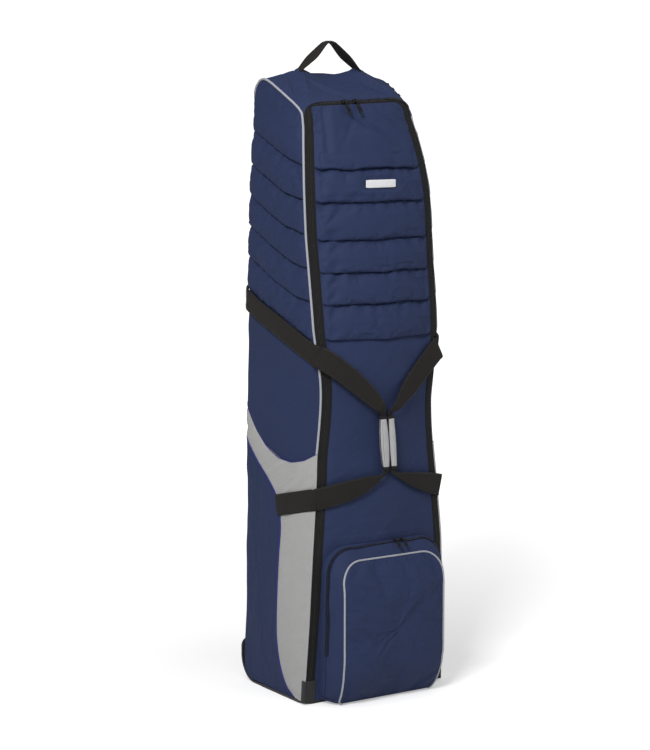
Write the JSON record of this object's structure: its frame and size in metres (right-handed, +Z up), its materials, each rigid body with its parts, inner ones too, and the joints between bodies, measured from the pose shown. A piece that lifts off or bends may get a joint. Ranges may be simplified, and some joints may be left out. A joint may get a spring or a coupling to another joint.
{
  "type": "golf travel case",
  "caption": "Tall wheeled soft travel case for a golf bag: pleated padded top, zipped front flap, shoe pocket, carry straps with grips, moulded base with recessed wheels.",
  "frame": {"origin": "centre of the base footprint, on the flat underside of the base tray, which is the floor plane", "axes": "+X to the right of a person facing the front, +Y to the back, +Z up"},
  "size_m": [0.3662, 0.347, 1.389],
  "materials": {
    "navy_pleated": "matte",
    "navy_polyester": "matte",
    "grey_polyester": "matte",
    "silver_piping": "satin",
    "blue_piping": "satin",
    "black_zip": "matte",
    "black_webbing": "matte",
    "grip_fabric": "satin",
    "moulded_black": "satin",
    "stiffener_sheet": "matte",
    "wheel_tyre": "matte",
    "steel": "satin",
    "black_zinc": "satin",
    "buckle_plastic": "satin",
    "label_vinyl": "satin"
  },
  "bodies": {
    "case_body": {"back_panel": "navy_polyester", "back_stiffener": "stiffener_sheet", "band_piping": "blue_piping", "base_board": "stiffener_sheet", "base_screws": "steel", "base_tray": "moulded_black", "buckle_socket": "buckle_plastic", "edge_piping_left": "silver_piping", "edge_piping_right": "silver_piping", "front_corner_guards": "moulded_black", "inner_strap_left": "black_webbing", "inner_strap_right": "black_webbing", "lower_front_panel": "navy_polyester", "main_zip_body_half": "black_zip", "main_zip_lower_half": "black_zip", "pocket_gusset_rear": "navy_polyester", "pocket_zip_rear_half": "black_zip", "rear_wheel_chassis": "moulded_black", "side_band_left": "grey_polyester", "side_band_right": "grey_polyester", "side_lower_left": "navy_polyester", "side_lower_right": "navy_polyester", "side_middle_left": "navy_polyester", "side_middle_right": "navy_polyester", "side_straps_left": "black_webbing", "side_straps_right": "black_webbing", "side_upper_left": "navy_pleated", "side_upper_right": "navy_pleated", "top_handle_tabs": "black_webbing", "top_panel": "navy_polyester", "wheel_axles": "steel"},
    "front_flap": {"flap_pleated_panel": "navy_pleated", "flap_plain_panel": "navy_polyester", "main_zip_flap_half": "black_zip", "label_patch": "label_vinyl"},
    "pocket_flap": {"pocket_face": "navy_polyester", "pocket_gusset_front": "navy_polyester", "pocket_piping": "silver_piping", "pocket_zip_front_half": "black_zip"},
    "left_wheel": {"wheel_hub_left": "moulded_black", "wheel_tyre_left": "wheel_tyre", "wheel_bearings_left": "steel"},
    "right_wheel": {"wheel_hub_right": "moulded_black", "wheel_tyre_right": "wheel_tyre", "wheel_bearings_right": "steel"},
    "left_carry_handle": {"carry_strap_left": "black_webbing", "grip_left": "grip_fabric"},
    "right_carry_handle": {"carry_strap_right": "black_webbing", "grip_right": "grip_fabric"},
    "top_grab_handle": {"top_handle": "black_webbing"},
    "main_slider_left": {"main_slider_left": "black_zinc"},
    "main_slider_right": {"main_slider_right": "black_zinc"},
    "main_pull_left": {"main_pull_left": "black_zinc"},
    "main_pull_right": {"main_pull_right": "black_zinc"},
    "pocket_slider_left": {"pocket_slider_left": "black_zinc"},
    "pocket_slider_right": {"pocket_slider_right": "black_zinc"},
    "pocket_pull_left": {"pocket_pull_left": "black_zinc"},
    "pocket_pull_right": {"pocket_pull_right": "black_zinc"},
    "buckle_plug": {"buckle_plug": "buckle_plastic"}
  },
  "joints": [
    {"name": "left_wheel_spin", "type": "hinge", "parent": "case_body", "child": "left_wheel", "pos_m": [-0.138, 0.086, 0.0355], "axis": [1, 0, 0], "continuous": true},
    {"name": "right_wheel_spin", "type": "hinge", "parent": "case_body", "child": "right_wheel", "pos_m": [0.138, 0.086, 0.0355], "axis": [1, 0, 0], "continuous": true},
    {"name": "front_flap_fold", "type": "hinge", "parent": "case_body", "child": "front_flap", "pos_m": [0, -0.1768, 0.3725], "axis": [1, 0, 0], "range_deg": [0, 95], "deforming": ["carry_strap_left", "carry_strap_right", "grip_left", "grip_right"]},
    {"name": "pocket_flap_fold", "type": "hinge", "parent": "case_body", "child": "pocket_flap", "pos_m": [0, -0.167, 0.004], "axis": [1, 0, 0], "range_deg": [0, 45]},
    {"name": "left_carry_swing", "type": "hinge", "parent": "case_body", "child": "left_carry_handle", "pos_m": [-0.163, -0.152, 0.59], "axis": [0, 0, -1], "range_deg": [0, 165]},
    {"name": "right_carry_swing", "type": "hinge", "parent": "case_body", "child": "right_carry_handle", "pos_m": [0.163, -0.152, 0.59], "axis": [0, 0, 1], "range_deg": [0, 165]},
    {"name": "top_handle_fold", "type": "hinge", "parent": "case_body", "child": "top_grab_handle", "pos_m": [0, 0.042, 1.3298], "axis": [1, 0, 0], "range_deg": [-60, 60]},
    {"name": "left_main_zip_run", "type": "slide", "parent": "case_body", "child": "main_slider_left", "axis": [-0.9992, 0, -0.04], "range_m": [0, 0.052]},
    {"name": "right_main_zip_run", "type": "slide", "parent": "case_body", "child": "main_slider_right", "axis": [0.9992, 0, -0.04], "range_m": [0, 0.08]},
    {"name": "left_main_pull_swing", "type": "hinge", "parent": "main_slider_left", "child": "main_pull_left", "pos_m": [-0.037, -0.0776, 1.26148], "axis": [-1, 0, 0], "range_deg": [0, 110]},
    {"name": "right_main_pull_swing", "type": "hinge", "parent": "main_slider_right", "child": "main_pull_right", "pos_m": [-0.009, -0.07775, 1.26274], "axis": [-1, 0, 0], "range_deg": [0, 110]},
    {"name": "left_pocket_zip_run", "type": "slide", "parent": "case_body", "child": "pocket_slider_left", "axis": [-1, 0, 0], "range_m": [0, 0.07]},
    {"name": "right_pocket_zip_run", "type": "slide", "parent": "case_body", "child": "pocket_slider_right", "axis": [1, 0, 0], "range_m": [0, 0.045]},
    {"name": "left_pocket_pull_swing", "type": "hinge", "parent": "pocket_slider_left", "child": "pocket_pull_left", "pos_m": [0.02, -0.18639, 0.3428], "axis": [-1, 0, 0], "range_deg": [0, 90]},
    {"name": "right_pocket_pull_swing", "type": "hinge", "parent": "pocket_slider_right", "child": "pocket_pull_right", "pos_m": [0.038, -0.1859, 0.3428], "axis": [-1, 0, 0], "range_deg": [0, 90]},
    {"name": "buckle_release", "type": "slide", "parent": "case_body", "child": "buckle_plug", "axis": [1, 0, 0], "range_m": [0, 0.034], "deforming": ["inner_strap_right"]}
  ]
}
